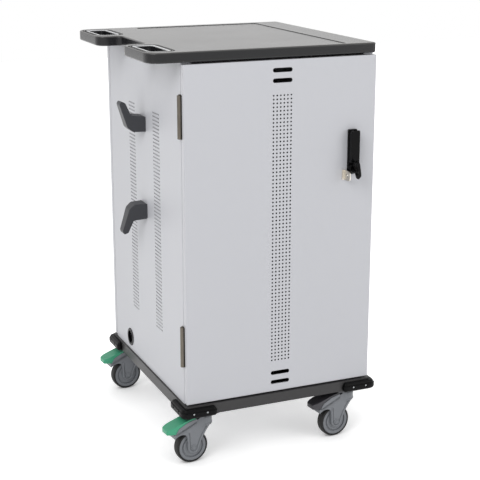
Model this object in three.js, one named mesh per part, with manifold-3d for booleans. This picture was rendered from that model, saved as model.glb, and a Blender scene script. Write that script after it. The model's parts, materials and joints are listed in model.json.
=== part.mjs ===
// Laptop charging cart in millimetres, +Z up. The front door faces -Y and the wheels stand on z = 0.
import * as THREE from "three";
import { mergeVertices } from "three/addons/utils/BufferGeometryUtils.js";
import Module from "manifold-3d";

const wasm = await Module();
wasm.setup();

// Clearances
const FIT = 0.3; // between pieces that rest on or hold each other
const DOOR_GAP = 2; // between a closed door and the frame behind it
const DOOR_CLEARANCE = 5; // under a door
const WORKTOP_GAP = 6; // between a door and the worktop
const WHEEL_GAP = 4; // between the tyre and the fork arch
const SIDE_PLAY = 1.5; // between the wheel and a fork cheek

// Cabinet
const CART_HEIGHT = 1205.3; // from the floor to the worktop
const CABINET_WIDTH = 590;
const CABINET_DEPTH = 680;
const DOOR_THICKNESS = 20;
const SHEET = 2;
const FLANGE = 30;
const END_LIP = 16;

// Vent slots, measured from the ends of a door
const VENT_LENGTH = 60;
const VENT_HEIGHT = 12.5;
const VENT_FIRST = 28;
const VENT_PITCH = 29;

// Base frame and bumpers
const BASE_HEIGHT = 32;
const BASE_OVERHANG = 6;
const BASE_SIDE_BAR = 46;
const BASE_END_BAR = 84;
const BASE_WALL = 3;
const BUMPER_PROJECTION = 16;
const BUMPER_LEG = 98;
const BUMPER_HEIGHT = 34;
const BUMPER_DROP = 5;
const BUMPER_EDGE = 5;
const BUMPER_CORNER = 22;
const BUMPER_END = 9;

// Castors
const CASTOR_HEIGHT = 153;
const CASTOR_INSET_X = 60;
const CASTOR_INSET_Y = 32;
const CASTOR_HEADING = 185; // degrees from +X, the way the wheels trail
const CASTOR_TRAIL = 40;
const CASTOR_PLATE_LENGTH = 84;
const CASTOR_PLATE_WIDTH = 66;
const CASTOR_PLATE_THICKNESS = 5;
const RACE_RADIUS = 26;
const RACE_HEIGHT = 6;
const KINGPIN_RADIUS = 6;
const KINGPIN_LENGTH = 17;
const HEAD_RADIUS = 27;
const HEAD_DEPTH = 28;
const CHEEK = 5.5;
const WHEEL_DIAMETER = 100;
const WHEEL_WIDTH = 28;
const WHEEL_SIDES = 20;
const TYRE_THICKNESS = 6.5;
const AXLE_RADIUS = 5;
const HUB_END_RADIUS = 18;
const FORK_SHOULDER = 36; // above the axle, where a leg narrows
const CANOPY_REACH = 61; // past the axle
const CANOPY_RISE = 57; // above the axle
const CANOPY_THICKNESS = 10;
const PEDAL_WIDTH = 46;
const PEDAL_REACH = 136;
const PEDAL_TIP_HEIGHT = 104;
const PEDAL_TIP_THICKNESS = 14;
const PEDAL_GAP = 1.2; // above the fork
const PEDAL_PIN_RADIUS = 2.2;
const PEDAL_PIN_DROP = 5.2; // below the top of the fork
const PEDAL_LUG = 8; // width of the lug that carries the pin

// Worktop and handles
const WORKTOP_THICKNESS = 29;
const WORKTOP_EDGE = 4;
const WORKTOP_SKIN = 5;
const HANDLE_REACH = 101;
const HANDLE_WIDTH = 228;
const HANDLE_CORNER = 30;
const NOTCH_OVERHANG = 25;
const GRIP_LENGTH = 154;
const GRIP_WIDTH = 56;
const GRIP_BAR = 22;
const INSET_DEPTH = 1.5;
const INSET_MARGIN_LEFT = 87;
const INSET_MARGIN_RIGHT = 90;
const INSET_MARGIN_FRONT = 12;
const INSET_MARGIN_REAR = 27;

// Hinges, measured from the ends of a door to their middles
const HINGE_LENGTH = 120;
const HINGE_FROM_BOTTOM = 172;
const HINGE_FROM_TOP = 144;
const HINGE_RADIUS = 7;
const HINGE_OFFSET = 3.5;
const HINGE_PIN_RADIUS = 3.5;
const HINGE_TIP = 3;
const LEAF_THICKNESS = 2;
const LEAF_REACH = 36;

// Front lock, its foot measured from the top of the door
const LOCK_FROM_EDGE = 74;
const LOCK_FROM_TOP = 340;
const LOCK_HEIGHT = 131;
const LOCK_WIDTH = 28;
const LOCK_DEPTH = 9;
const SPINDLE_DROP = 13;
const SPINDLE_RADIUS = 8;
const TONGUE_WIDTH = 9;
const HANDLE_BAR_WIDTH = 26;
const HANDLE_BAR_DEPTH = 14;
const HANDLE_BAR_LENGTH = 92;
const HANDLE_BAR_GAP = 3.5;
const HANDLE_PIN_RADIUS = 2.5;
const CYLINDER_RISE = 18;
const CYLINDER_RADIUS = 9;
const CYLINDER_PROUD = 5;
const KEY_TILT = -30; // degrees
const KEY_BOW_LENGTH = 36;
const KEY_BOW_DEPTH = 26;
const KEY_BOW_THICKNESS = 5;
const KEY_BLADE_WIDTH = 7;
const KEY_BLADE_THICKNESS = 2.4;
const KEY_STANDOFF = 19;
const CAM_LENGTH = 52;
const CAM_WIDTH = 20;
const CAM_THICKNESS = 4;
const CAM_GAP = 2; // behind the folded edge that the cam turns behind
const STAPLE_OFFSET = 20;
const STAPLE_DROP = 16; // below the foot of the lock
const STAPLE_HEIGHT = 29;
const STAPLE_PROJECTION = 38;
const STAPLE_THICKNESS = 3;
const STAPLE_EYE_RADIUS = 5;

// Rear cam lock, its height measured from the bottom of the door
const REAR_LOCK_HEIGHT = 560;
const REAR_LOCK_RADIUS = 9;
const REAR_LOCK_HEAD_RADIUS = 14;
const REAR_LOCK_HEAD = 5;

// Cord hooks, measured from the front and top of the door
const HOOK_FROM_FRONT = 346;
const HOOK_FROM_TOP = 234;
const HOOK_SPACING = 265;
const HOOK_BLOCK = 45;
const HOOK_ROOT_DEPTH = 58;
const HOOK_TIP_DEPTH = 30;
const HOOK_REACH = 81;
const HOOK_RISE = 46;
const HOOK_HEEL = 40; // reach of the block's straight outer edge
const HOOK_KNEE = 57; // reach and rise of the bend outside the arm
const HOOK_KNEE_RISE = 13;
const HOOK_THROAT = 45; // reach and rise of the bend inside the arm
const HOOK_THROAT_RISE = 5;
const HOOK_TIP = 19; // across the end of the arm

// Cable inlet, measured from the rear and bottom of the cabinet's doors
const INLET_RADIUS = 25;
const INLET_FROM_REAR = 167;
const INLET_HEIGHT = 38;
const GROMMET_WALL = 4;
const GROMMET_LIP = 4;

// Inside of the cabinet
const ADAPTER_BAY = 175;
const SHELF_HEIGHT = 478;
const SHELF_LIP = 22;
const RACK_SETBACK = 24;
const RACK_SIDE_GAP = 6;
const RACK_TRAY = 3;
const FIN_THICKNESS = 3;
const FIN_HEIGHT = 150;
const RACK_SLOTS = 10;
const STRIP_LENGTH = 440;
const STRIP_HEIGHT = 50;
const STRIP_DEPTH = 44;
const STRIP_RISE = 260; // above the floor and above the shelf
const SOCKET_COUNT = 6;
const SOCKET_WIDTH = 30;
const SOCKET_HEIGHT = 24;
const SOCKET_DEPTH = 3;

// Heights and faces that follow from the sizes above
const halfWidth = CABINET_WIDTH / 2;
const halfDepth = CABINET_DEPTH / 2;
const wheelRadius = WHEEL_DIAMETER / 2;
const baseBottom = CASTOR_HEIGHT + FIT;
const baseTop = baseBottom + BASE_HEIGHT;
const bodyBottom = baseTop + FIT;
const doorBottom = baseTop + DOOR_CLEARANCE;
const worktopBottom = CART_HEIGHT - WORKTOP_THICKNESS;
const doorTop = worktopBottom - WORKTOP_GAP;
const bodyTop = worktopBottom - FIT;
const doorFront = -halfDepth;
const doorBack = doorFront + DOOR_THICKNESS;
const frameFront = doorBack + DOOR_GAP;
const innerX = halfWidth - SHEET - FIT;
const innerY = -frameFront - SHEET - FIT;
const hingeX = -halfWidth - HINGE_OFFSET;
const hingeY = doorBack + DOOR_GAP / 2;
const hingeLevels = {
  lower: doorBottom + HINGE_FROM_BOTTOM,
  upper: doorTop - HINGE_FROM_TOP,
};
const inletY = halfDepth - INLET_FROM_REAR;
const inletZ = doorBottom + INLET_HEIGHT;
const floorTop = bodyBottom + SHEET;
const roofBottom = bodyTop - SHEET;

function toSolid(geometry) {
  const bare = geometry.clone();
  bare.deleteAttribute("normal");
  bare.deleteAttribute("uv");
  const merged = mergeVertices(bare, 1e-4);
  const vertProperties = merged.attributes.position.array;
  const triVerts = new Uint32Array(merged.index.array);
  return new wasm.Manifold(new wasm.Mesh({ numProp: 3, vertProperties, triVerts }));
}

function block(x0, x1, y0, y1, z0, z1) {
  const geometry = new THREE.BoxGeometry(x1 - x0, y1 - y0, z1 - z0);
  geometry.translate((x0 + x1) / 2, (y0 + y1) / 2, (z0 + z1) / 2);
  return toSolid(geometry);
}

// Closed outline through corners [a, b, radius], with the corners rounded where a radius is given
function outline(corners) {
  const shape = new THREE.Shape();
  const count = corners.length;
  corners.forEach(([a, b, radius = 0], index) => {
    const corner = new THREE.Vector2(a, b);
    const before = new THREE.Vector2(...corners[(index + count - 1) % count]);
    const after = new THREE.Vector2(...corners[(index + 1) % count]);
    const start = before.sub(corner).setLength(radius).add(corner);
    const end = after.sub(corner).setLength(radius).add(corner);
    if (index === 0) {
      shape.moveTo(start.x, start.y);
    } else {
      shape.lineTo(start.x, start.y);
    }
    if (radius > 0) {
      shape.quadraticCurveTo(corner.x, corner.y, end.x, end.y);
    }
  });
  shape.closePath();
  return shape;
}

function rectangle(a0, a1, b0, b1, radius = 0) {
  return outline([
    [a0, b0, radius],
    [a1, b0, radius],
    [a1, b1, radius],
    [a0, b1, radius],
  ]);
}

// Extrusion along an axis: the outline lies in XY for z, in YZ for x and in XZ for y
function prism(shape, axis, from, to, edge = 0, segments = 5) {
  const geometry = new THREE.ExtrudeGeometry(shape, {
    depth: to - from - 2 * edge,
    bevelEnabled: edge > 0,
    bevelThickness: edge,
    bevelSize: edge,
    bevelOffset: -edge,
    bevelSegments: 2,
    curveSegments: segments,
  });
  geometry.translate(0, 0, edge);
  const along = new THREE.Vector3(1, 0, 0);
  const across = new THREE.Vector3(0, 1, 0);
  const upward = new THREE.Vector3(0, 0, 1);
  const turn = new THREE.Matrix4();
  if (axis === "x") {
    turn.makeBasis(across, upward, along);
    geometry.applyMatrix4(turn).translate(from, 0, 0);
  } else if (axis === "y") {
    turn.makeBasis(along, upward, across.clone().negate());
    geometry.applyMatrix4(turn).translate(0, to, 0);
  } else {
    geometry.translate(0, 0, from);
  }
  return toSolid(geometry);
}

// Round bar along an axis through the point (a, b) of the other two axes
function rod(radius, axis, from, to, a, b, segments = 16) {
  const geometry = new THREE.CylinderGeometry(radius, radius, to - from, segments);
  const middle = (from + to) / 2;
  if (axis === "x") {
    geometry.rotateZ(Math.PI / 2).translate(middle, a, b);
  } else if (axis === "y") {
    geometry.translate(a, middle, b);
  } else {
    geometry.rotateX(Math.PI / 2).translate(a, b, middle);
  }
  return toSolid(geometry);
}

// Ring turned about the Y axis from a closed profile of [radius, position] points
function turned(profile, segments) {
  const points = profile.map(([radius, position]) => new THREE.Vector2(radius, position));
  points.push(points[0].clone());
  return toSolid(new THREE.LatheGeometry(points, segments));
}

function finish(color, roughness, metalness) {
  return new THREE.MeshStandardMaterial({ color, roughness, metalness });
}

const whitePaint = finish(0xd6d8dc, 0.45, 0.1);
const darkPaint = finish(0x48484b, 0.5, 0.2);
const darkPlastic = finish(0x3e3e42, 0.55, 0);
const blackPlastic = finish(0x1d1d1f, 0.45, 0);
const greyPlastic = finish(0x6f7376, 0.5, 0);
const greenPlastic = finish(0x4c9c79, 0.5, 0);
const rubber = finish(0x2b2b2d, 0.8, 0);
const steel = finish(0xb9b3a8, 0.35, 0.9);
const zinc = finish(0xa9abad, 0.4, 0.8);

function add(parent, name, solid, material) {
  const data = solid.getMesh();
  const geometry = new THREE.BufferGeometry();
  const positions = new Float32Array(data.vertProperties);
  geometry.setAttribute("position", new THREE.BufferAttribute(positions, 3));
  geometry.setIndex(new THREE.BufferAttribute(new Uint32Array(data.triVerts), 1));
  const mesh = new THREE.Mesh(geometry, material);
  mesh.name = name;
  parent.add(mesh);
}

const cart = new THREE.Group();

// The rear door, its hinges and the right panel are the front ones turned half a turn about Z.
const rear = new THREE.Group();
rear.rotation.z = Math.PI;
cart.add(rear);

// Ring of folded channel, open below between the four plates that carry the castors
function baseFrame() {
  const x = halfWidth + BASE_OVERHANG;
  const y = halfDepth + BASE_OVERHANG;
  const holeX = x - BASE_SIDE_BAR;
  const holeY = y - BASE_END_BAR;
  const ring = (wall) => {
    const shape = rectangle(wall - x, x - wall, wall - y, y - wall, 6);
    shape.holes.push(rectangle(-holeX - wall, holeX + wall, -holeY - wall, holeY + wall, 6));
    return shape;
  };
  const channel = prism(ring(BASE_WALL), "z", baseBottom - 1, baseTop - BASE_WALL, 0, 2);
  let frame = prism(ring(0), "z", baseBottom, baseTop, 0, 2).subtract(channel);
  const padX = CASTOR_INSET_X + BASE_OVERHANG + CASTOR_PLATE_LENGTH / 2 + 8;
  for (const sideX of [-1, 1]) {
    for (const sideY of [-1, 1]) {
      const near = sideX * (x - 1);
      const far = sideX * (x - padX);
      const front = sideY * (y - 1);
      const back = sideY * (y - BASE_END_BAR + 1);
      const pad = block(
        Math.min(near, far),
        Math.max(near, far),
        Math.min(front, back),
        Math.max(front, back),
        baseBottom,
        baseBottom + BASE_WALL,
      );
      frame = frame.add(pad);
    }
  }
  return frame;
}

// Bumper around the corner of the base frame, with the frame's corner at the origin
function bumper() {
  const shape = outline([
    [-BUMPER_PROJECTION, -BUMPER_PROJECTION, BUMPER_CORNER],
    [BUMPER_LEG, -BUMPER_PROJECTION, BUMPER_END],
    [BUMPER_LEG, -FIT],
    [-FIT, -FIT],
    [-FIT, BUMPER_LEG],
    [-BUMPER_PROJECTION, BUMPER_LEG, BUMPER_END],
  ]);
  const top = baseTop - BUMPER_DROP;
  const body = prism(shape, "z", top - BUMPER_HEIGHT, top, BUMPER_EDGE, 4);
  const reach = BUMPER_LEG + BUMPER_PROJECTION;
  const seat = block(-FIT, reach, -FIT, reach, top - BUMPER_HEIGHT - 1, top + 1);
  return body.subtract(seat);
}

// Castor with its swivel axis on Z and its wheel trailing along +X
const headTop = CASTOR_HEIGHT - CASTOR_PLATE_THICKNESS - RACE_HEIGHT - FIT;
const headBottom = headTop - HEAD_DEPTH;
const archRadius = wheelRadius + WHEEL_GAP;
const pocketHalf = WHEEL_WIDTH / 2 + SIDE_PLAY;
const forkHalf = pocketHalf + CHEEK;

function castorPlate() {
  const halfLength = CASTOR_PLATE_LENGTH / 2;
  const half = CASTOR_PLATE_WIDTH / 2;
  const plateBottom = CASTOR_HEIGHT - CASTOR_PLATE_THICKNESS;
  const raceBottom = plateBottom - RACE_HEIGHT;
  const shape = rectangle(-halfLength, halfLength, -half, half, 8);
  const plate = prism(shape, "z", plateBottom, CASTOR_HEIGHT, 0, 3);
  const race = rod(RACE_RADIUS, "z", raceBottom, plateBottom + 1, 0, 0, 18);
  const pin = rod(KINGPIN_RADIUS, "z", raceBottom - KINGPIN_LENGTH, raceBottom + 1, 0, 0, 12);
  return plate.add(race).add(pin);
}

// Upper edge of the fork: its ends as [distance along the trail, height]
const canopyTip = CASTOR_TRAIL + CANOPY_REACH;
const canopyStart = [HEAD_RADIUS + 1, headTop - 7];
const canopyEnd = [canopyTip - 9, wheelRadius + CANOPY_RISE];
const pedalRoot = HEAD_RADIUS + 5;
const pedalPin = pedalRoot + 4;
const pedalPinZ = headTop - PEDAL_PIN_DROP;

function castorFork() {
  const shape = new THREE.Shape();
  const left = CASTOR_TRAIL - HUB_END_RADIUS;
  const right = CASTOR_TRAIL + HUB_END_RADIUS;
  const shoulder = wheelRadius + FORK_SHOULDER;
  const under = wheelRadius + CANOPY_RISE - CANOPY_THICKNESS;
  const headHalf = HEAD_RADIUS / 2;
  shape.moveTo(-headHalf, headTop);
  shape.lineTo(-headHalf, headBottom);
  shape.quadraticCurveTo(left - 12, shoulder, left, wheelRadius);
  shape.absarc(CASTOR_TRAIL, wheelRadius, HUB_END_RADIUS, Math.PI, 2 * Math.PI, false);
  shape.lineTo(right + 2, shoulder);
  shape.quadraticCurveTo(right + 6, under + 1, right + 20, under);
  shape.quadraticCurveTo(canopyTip - 9, under - 1, canopyTip - 1, under - 10);
  shape.lineTo(canopyTip, under - 1);
  shape.quadraticCurveTo(canopyTip - 2, under + 6, ...canopyEnd);
  shape.lineTo(...canopyStart);
  shape.lineTo(headHalf, headTop);
  shape.closePath();
  const body = prism(shape, "y", -forkHalf, forkHalf, 0, 4);
  const head = rod(HEAD_RADIUS, "z", headBottom, headTop, 0, 0, 18);
  const pocket = rod(archRadius, "y", -pocketHalf, pocketHalf, CASTOR_TRAIL, wheelRadius, WHEEL_SIDES);
  const boreBottom = headTop - KINGPIN_LENGTH - FIT;
  const bore = rod(KINGPIN_RADIUS + FIT, "z", boreBottom, headTop + 1, 0, 0, 12);
  const axle = rod(AXLE_RADIUS, "y", -forkHalf - 2, forkHalf + 2, CASTOR_TRAIL, wheelRadius, 12);
  const lug = PEDAL_LUG / 2;
  const lugEnd = rod(lug, "y", -lug, lug, pedalPin, pedalPinZ, 12);
  const lugRoot = block(pedalPin - lug, pedalPin + lug, -lug, lug, headBottom + 5, pedalPinZ);
  const pinHalf = PEDAL_WIDTH / 2 - 1.5;
  const pin = rod(PEDAL_PIN_RADIUS, "y", -pinHalf, pinHalf, pedalPin, pedalPinZ, 10);
  return body.add(head).subtract(pocket).subtract(bore).add(axle).add(lugEnd).add(lugRoot).add(pin);
}

function castorHub() {
  const half = WHEEL_WIDTH / 2 - 1;
  const rim = wheelRadius - TYRE_THICKNESS - FIT;
  const hole = AXLE_RADIUS + FIT;
  const hub = turned(
    [
      [hole, -half],
      [rim - 15, -half],
      [rim - 13, 4 - half],
      [rim - 9, 4 - half],
      [rim - 7, -half],
      [rim, -half],
      [rim, half],
      [rim - 7, half],
      [rim - 9, half - 4],
      [rim - 13, half - 4],
      [rim - 15, half],
      [hole, half],
    ],
    WHEEL_SIDES,
  );
  return hub.translate(CASTOR_TRAIL, 0, wheelRadius);
}

function castorTyre() {
  const half = WHEEL_WIDTH / 2;
  const inner = wheelRadius - TYRE_THICKNESS;
  const tyre = turned(
    [
      [inner, -half],
      [wheelRadius - 4, -half],
      [wheelRadius - 1, 4 - half],
      [wheelRadius, 9 - half],
      [wheelRadius, half - 9],
      [wheelRadius - 1, half - 4],
      [wheelRadius - 4, half],
      [inner, half],
    ],
    WHEEL_SIDES,
  );
  return tyre.translate(CASTOR_TRAIL, 0, wheelRadius);
}

function castorPedal() {
  const rootTop = headTop + 3;
  const slope = (canopyEnd[1] - canopyStart[1]) / (canopyEnd[0] - canopyStart[0]);
  const rootBottom = canopyStart[1] + slope * (pedalRoot - canopyStart[0]) + PEDAL_GAP;
  const tipTop = PEDAL_TIP_HEIGHT + PEDAL_TIP_THICKNESS;
  const side = outline([
    [pedalRoot, rootBottom, 1],
    [canopyEnd[0] + 2, canopyEnd[1] + 2 * slope + PEDAL_GAP, 2],
    [canopyEnd[0] + 12, PEDAL_TIP_HEIGHT, 2],
    [PEDAL_REACH, PEDAL_TIP_HEIGHT, 3],
    [PEDAL_REACH, tipTop, 5],
    [pedalRoot + 34, rootTop - 6, 14],
    [pedalRoot, rootTop, 3],
  ]);
  const half = PEDAL_WIDTH / 2;
  const plan = outline([
    [pedalRoot - 1, -half],
    [PEDAL_REACH - 18, -half, 10],
    [PEDAL_REACH, 7 - half, 4],
    [PEDAL_REACH, half - 7, 4],
    [PEDAL_REACH - 18, half, 10],
    [pedalRoot - 1, half],
  ]);
  const tall = prism(plan, "z", PEDAL_TIP_HEIGHT - 10, rootTop + 10, 0, 3);
  const lug = PEDAL_LUG / 2;
  const room = block(
    pedalRoot - 1,
    pedalPin + lug + 1.5,
    -lug - FIT,
    lug + FIT,
    PEDAL_TIP_HEIGHT,
    pedalPinZ + lug + FIT,
  );
  const bore = rod(PEDAL_PIN_RADIUS + FIT, "y", -half - 1, half + 1, pedalPin, pedalPinZ, 10);
  return prism(side, "y", -half, half, 0, 3).intersect(tall).subtract(room).subtract(bore);
}

// Left side panel: a sheet with its front and rear edges folded inwards, open around the hinges
function sidePanel(withInlet) {
  const outer = block(-halfWidth, FLANGE - halfWidth, frameFront, -frameFront, bodyBottom, bodyTop);
  const inside = block(
    SHEET - halfWidth,
    FLANGE + 1 - halfWidth,
    frameFront + SHEET,
    -frameFront - SHEET,
    bodyBottom - 1,
    bodyTop + 1,
  );
  let panel = outer.subtract(inside);
  for (const z of Object.values(hingeLevels)) {
    panel = panel.subtract(hingeRoom(z));
  }
  if (withInlet) {
    const hole = rod(INLET_RADIUS, "x", -halfWidth - 1, SHEET + 1 - halfWidth, inletY, inletZ, 24);
    panel = panel.subtract(hole);
  }
  return panel;
}

// Room for a hinge barrel and the roots of its leaves in the door edge and the panel fold
function hingeRoom(z) {
  const reach = HINGE_RADIUS + 2;
  const half = HINGE_LENGTH / 2 + 1;
  return block(hingeX - reach, hingeX + reach + 2, hingeY - reach, hingeY + reach, z - half, z + half);
}

// Folded door: front sheet, four edges and a lip around the back, hinged at its left edge
function door() {
  const half = halfWidth;
  const lip = FLANGE;
  const outer = block(-half, half, doorFront, doorBack, doorBottom, doorTop);
  const hollow = block(
    SHEET - half,
    half - SHEET,
    doorFront + SHEET,
    doorBack - SHEET,
    doorBottom + SHEET,
    doorTop - SHEET,
  );
  const back = block(
    lip - half,
    half - lip,
    doorBack - SHEET - 1,
    doorBack + 1,
    doorBottom + END_LIP,
    doorTop - END_LIP,
  );
  let pan = outer.subtract(hollow).subtract(back);
  for (const z of Object.values(hingeLevels)) {
    pan = pan.subtract(hingeRoom(z));
  }
  for (const step of [VENT_FIRST, VENT_FIRST + VENT_PITCH]) {
    for (const z of [doorBottom + step, doorTop - step]) {
      pan = pan.subtract(slot(z));
    }
  }
  return pan;
}

function slot(z) {
  const radius = VENT_HEIGHT / 2;
  const straight = VENT_LENGTH / 2 - radius;
  const shape = new THREE.Shape();
  shape.absarc(straight, z, radius, -Math.PI / 2, Math.PI / 2, false);
  shape.absarc(-straight, z, radius, Math.PI / 2, 1.5 * Math.PI, false);
  return prism(shape, "y", doorFront - 1, doorFront + SHEET + 1, 0, 5);
}

const leafNear = DOOR_GAP / 2 + SHEET + FIT;

// Lower half of a hinge with its pin, fixed behind the folded edge of the side panel
function hingeFrameLeaf(z) {
  const low = z - HINGE_LENGTH / 2;
  const high = z + HINGE_LENGTH / 2;
  const barrel = rod(HINGE_RADIUS, "z", low, z - FIT / 2, hingeX, hingeY, 14);
  const leaf = block(
    hingeX,
    hingeX + LEAF_REACH,
    hingeY + leafNear,
    hingeY + leafNear + LEAF_THICKNESS,
    low,
    z - FIT / 2,
  );
  const pin = rod(HINGE_PIN_RADIUS, "z", low + 1, high + HINGE_TIP, hingeX, hingeY, 12);
  return barrel.add(leaf).add(pin);
}

// Upper half of a hinge, a sleeve on the pin, fixed inside the lip of the door
function hingeDoorLeaf(z) {
  const low = z + FIT / 2;
  const high = z + HINGE_LENGTH / 2;
  const barrel = rod(HINGE_RADIUS, "z", low, high, hingeX, hingeY, 14);
  const leaf = block(
    hingeX,
    hingeX + LEAF_REACH,
    hingeY - leafNear - LEAF_THICKNESS,
    hingeY - leafNear,
    low,
    high,
  );
  const bore = rod(HINGE_PIN_RADIUS + FIT, "z", low - 1, high + 1, hingeX, hingeY, 12);
  return barrel.add(leaf).subtract(bore);
}

const lockX = halfWidth - LOCK_FROM_EDGE;
const lockBase = doorTop - LOCK_FROM_TOP;
const spindleZ = lockBase + LOCK_HEIGHT - SPINDLE_DROP;
const cylinderZ = lockBase + CYLINDER_RISE;
const lockFront = doorFront - FIT - LOCK_DEPTH;
const barBack = lockFront - HANDLE_BAR_GAP;
const barFront = barBack - HANDLE_BAR_DEPTH;
const pivotY = (barBack + barFront) / 2;
const camFront = frameFront + SHEET + CAM_GAP;
const camBack = camFront + CAM_THICKNESS;

function frontDoor() {
  const spindleHole = rod(SPINDLE_RADIUS + 1, "y", doorFront - 1, doorFront + SHEET + 1, lockX, spindleZ);
  const cylinderHole = rod(CYLINDER_RADIUS + 1, "y", doorFront - 1, doorFront + SHEET + 1, lockX, cylinderZ);
  return door().subtract(spindleHole).subtract(cylinderHole);
}

function lockPlate() {
  const half = LOCK_WIDTH / 2;
  const shape = rectangle(lockX - half, lockX + half, lockBase, lockBase + LOCK_HEIGHT, 4);
  const plate = prism(shape, "y", lockFront, doorFront - FIT, 1.5, 3);
  const spindleHole = rod(SPINDLE_RADIUS + FIT, "y", lockFront - 1, doorFront + 1, lockX, spindleZ);
  const cylinderHole = rod(CYLINDER_RADIUS + FIT, "y", lockFront - 1, doorFront + 1, lockX, cylinderZ);
  return plate.subtract(spindleHole).subtract(cylinderHole);
}

// Spindle through the door, with the tongue and cross pin that carry the handle
function latchSpindle() {
  const half = TONGUE_WIDTH / 2;
  const shaft = rod(SPINDLE_RADIUS, "y", lockFront - 1.2, camBack + 3, lockX, spindleZ);
  const tongue = rod(HANDLE_PIN_RADIUS + 2, "x", lockX - half, lockX + half, pivotY, spindleZ);
  const neck = block(lockX - half, lockX + half, pivotY, lockFront, spindleZ - 3, spindleZ + 3);
  const pinHalf = HANDLE_BAR_WIDTH / 2 - FIT;
  const pin = rod(HANDLE_PIN_RADIUS, "x", lockX - pinHalf, lockX + pinHalf, pivotY, spindleZ, 12);
  return shaft.add(tongue).add(neck).add(pin);
}

function swingHandle() {
  const top = spindleZ + SPINDLE_DROP - 2;
  const bottom = top - HANDLE_BAR_LENGTH;
  const side = outline([
    [barBack, bottom, 2],
    [barBack, top - 7],
    [barBack - 7, top],
    [barFront, top, 3],
    [barFront, bottom, 3],
  ]);
  const half = HANDLE_BAR_WIDTH / 2;
  const bar = prism(side, "x", lockX - half, lockX + half, 0, 3);
  const gap = TONGUE_WIDTH / 2 + FIT;
  const room = HANDLE_PIN_RADIUS + 2.8;
  const pocket = block(lockX - gap, lockX + gap, pivotY - room, barBack + 1, spindleZ - room, top + 1);
  const hole = rod(HANDLE_PIN_RADIUS + FIT, "x", lockX - half - 1, lockX + half + 1, pivotY, spindleZ, 12);
  return bar.subtract(pocket).subtract(hole);
}

// Turns a solid about the axis of the key cylinder
function tilted(solid, degrees) {
  return solid
    .translate(-lockX, 0, -cylinderZ)
    .rotate(0, degrees, 0)
    .translate(lockX, 0, cylinderZ);
}

const keyholeBottom = lockFront + 4;

function lockCylinder() {
  const front = lockFront - CYLINDER_PROUD;
  const body = rod(CYLINDER_RADIUS, "y", front, doorFront + SHEET + 10, lockX, cylinderZ, 20);
  const halfT = KEY_BLADE_THICKNESS / 2 + FIT;
  const halfW = KEY_BLADE_WIDTH / 2 + FIT;
  const keyway = block(
    lockX - halfT,
    lockX + halfT,
    front - 1,
    keyholeBottom + FIT,
    cylinderZ - halfW,
    cylinderZ + halfW,
  );
  return body.subtract(tilted(keyway, KEY_TILT));
}

function lockKey() {
  const near = lockFront - KEY_STANDOFF;
  const far = near - KEY_BOW_DEPTH;
  const half = KEY_BOW_LENGTH / 2;
  const halfT = KEY_BLADE_THICKNESS / 2;
  const halfW = KEY_BLADE_WIDTH / 2;
  const shape = rectangle(far, near, cylinderZ - half, cylinderZ + half, 10);
  const eye = new THREE.Path();
  eye.absarc((near + far) / 2, cylinderZ - half + 9.5, 5, 0, 2 * Math.PI, false);
  shape.holes.push(eye);
  const bow = prism(shape, "x", lockX - KEY_BOW_THICKNESS / 2, lockX + KEY_BOW_THICKNESS / 2, 0, 5);
  const blade = block(
    lockX - halfT,
    lockX + halfT,
    near - 6,
    keyholeBottom,
    cylinderZ - halfW,
    cylinderZ + halfW,
  );
  return tilted(bow.add(blade), KEY_TILT);
}

function padlockStaple() {
  const right = lockX - STAPLE_OFFSET;
  const low = lockBase - STAPLE_DROP;
  const high = low + STAPLE_HEIGHT;
  const back = doorFront - FIT;
  const front = doorFront - STAPLE_PROJECTION;
  const shape = outline([
    [back, low],
    [back, high],
    [front, high, 12],
    [front, low, 12],
  ]);
  const eye = new THREE.Path();
  eye.absarc(front + 13, (low + high) / 2, STAPLE_EYE_RADIUS, 0, 2 * Math.PI, false);
  shape.holes.push(eye);
  const plate = prism(shape, "x", right - STAPLE_THICKNESS, right, 0, 4);
  const foot = block(right - 22, right, back - STAPLE_THICKNESS, back, low, high);
  return plate.add(foot);
}

// Cam on the end of a lock, hanging down when released
function camPlate(axisX, axisZ) {
  const half = CAM_WIDTH / 2;
  return outline([
    [axisX - half, axisZ + half + 2, 9],
    [axisX - half, axisZ - CAM_LENGTH, 6],
    [axisX + half, axisZ - CAM_LENGTH, 6],
    [axisX + half, axisZ + half + 2, 9],
  ]);
}

function latchCam() {
  const plate = prism(camPlate(lockX, spindleZ), "y", camFront, camBack, 0, 4);
  return plate.subtract(rod(SPINDLE_RADIUS + FIT, "y", camFront - 1, camBack + 1, lockX, spindleZ));
}

const rearLockZ = doorBottom + REAR_LOCK_HEIGHT;

function rearDoor() {
  const hole = rod(REAR_LOCK_RADIUS + FIT, "y", doorFront - 1, doorFront + SHEET + 1, lockX, rearLockZ, 20);
  return door().subtract(hole);
}

function rearCamLock() {
  const headBack = doorFront - FIT;
  const head = rod(REAR_LOCK_HEAD_RADIUS, "y", headBack - REAR_LOCK_HEAD, headBack, lockX, rearLockZ, 24);
  const barrel = rod(REAR_LOCK_RADIUS, "y", headBack - 1, camFront + 1, lockX, rearLockZ, 20);
  const keyway = block(
    lockX - 1.2,
    lockX + 1.2,
    headBack - REAR_LOCK_HEAD - 1,
    headBack - REAR_LOCK_HEAD + 3,
    rearLockZ - 4,
    rearLockZ + 4,
  );
  const cam = prism(camPlate(lockX, rearLockZ), "y", camFront, camBack, 0, 4);
  return head.add(barrel).add(cam).subtract(keyway);
}

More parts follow.
